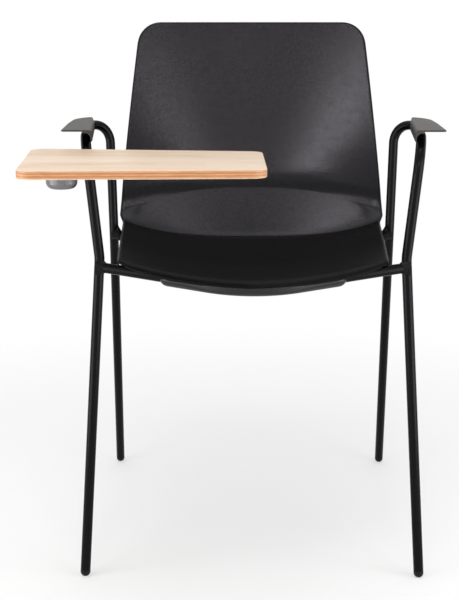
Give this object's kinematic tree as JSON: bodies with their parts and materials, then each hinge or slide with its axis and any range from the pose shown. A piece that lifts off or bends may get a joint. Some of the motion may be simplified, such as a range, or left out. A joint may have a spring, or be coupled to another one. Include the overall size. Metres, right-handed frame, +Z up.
{
  "type": "stacking armchair with writing tablet",
  "caption": "Stacking conference armchair: one-piece plastic seat and back shell on a bent steel tube frame, with arm pads and a lifting, swivelling plywood writing tablet.",
  "frame": {"origin": "middle of the chair's bounding box in plan, on the floor", "axes": "+Z up, +Y towards the back of the chair (the sitter faces -Y), +X towards the sitter's left; the tablet is on the -X side"},
  "size_m": [0.5948, 0.7412, 0.82],
  "materials": {
    "tube_black": "fine-textured matt black powder coat",
    "weld_black": "powder-coated weld bead, slightly rippled",
    "tab_black": "matt black powder coat on sheet steel",
    "shell_black": "fine leather-grained matt black moulding",
    "glide_plastic": "matt black nylon",
    "pad_grey": "dark grey satin moulded plastic, fine grain",
    "screw_zinc": "zinc-plated, satin",
    "screw_black": "black oxide, low sheen",
    "brass_insert": "plain turned brass",
    "cast_dark": "dark powder-coated die casting",
    "cast_grey": "mid-grey satin paint on a die casting",
    "bar_steel": "ground bright steel bar",
    "pin_steel": "hardened dowel, plain",
    "bush_plastic": "off-white bearing plastic",
    "disc_plastic": "dark friction plastic",
    "spindle_steel": "turned steel, satin",
    "washer_steel": "spring steel",
    "plate_black": "matt black powder coat on steel plate",
    "plywood_beech": "clear-lacquered pale beech plywood, satin, plies open at the edge"
  },
  "bodies": {
    "frame": {"side_frame_right": "tube_black", "side_frame_left": "tube_black", "front_crossbar": "tube_black", "rear_crossbar": "tube_black", "weld_beads": "weld_black", "shell_mount_tabs": "tab_black", "seat_shell": "shell_black", "shell_inserts": "brass_insert", "shell_screws": "screw_zinc", "foot_glide_front_right": "glide_plastic", "foot_glide_front_left": "glide_plastic", "foot_glide_rear_right": "glide_plastic", "foot_glide_rear_left": "glide_plastic", "arm_pad_right": "pad_grey", "arm_pad_left": "pad_grey", "arm_pad_screws": "screw_black", "tablet_clamp_outer": "cast_dark", "tablet_clamp_inner": "cast_dark", "clamp_screws": "screw_black", "bar_set_screw": "screw_black", "tablet_bar": "bar_steel", "lift_stop_pin": "pin_steel"},
    "hub": {"hub_base": "cast_grey", "bar_bushes": "bush_plastic", "friction_disc": "disc_plastic", "swivel_spindle": "spindle_steel", "spring_washer": "washer_steel"},
    "tablet": {"tablet_plate": "plate_black", "tablet_screws": "screw_zinc", "tablet_board": "plywood_beech"}
  },
  "joints": [
    {"name": "tablet_lift", "type": "hinge", "parent": "frame", "child": "hub", "pos_m": [-0.24607, -0.18669, 0.617], "axis": [0, -1, 0], "range_deg": [0, 90]},
    {"name": "tablet_swivel", "type": "hinge", "parent": "hub", "child": "tablet", "pos_m": [-0.24607, -0.18669, 0.629], "axis": [0, 0, 1], "range_deg": [-90, 0]}
  ]
}
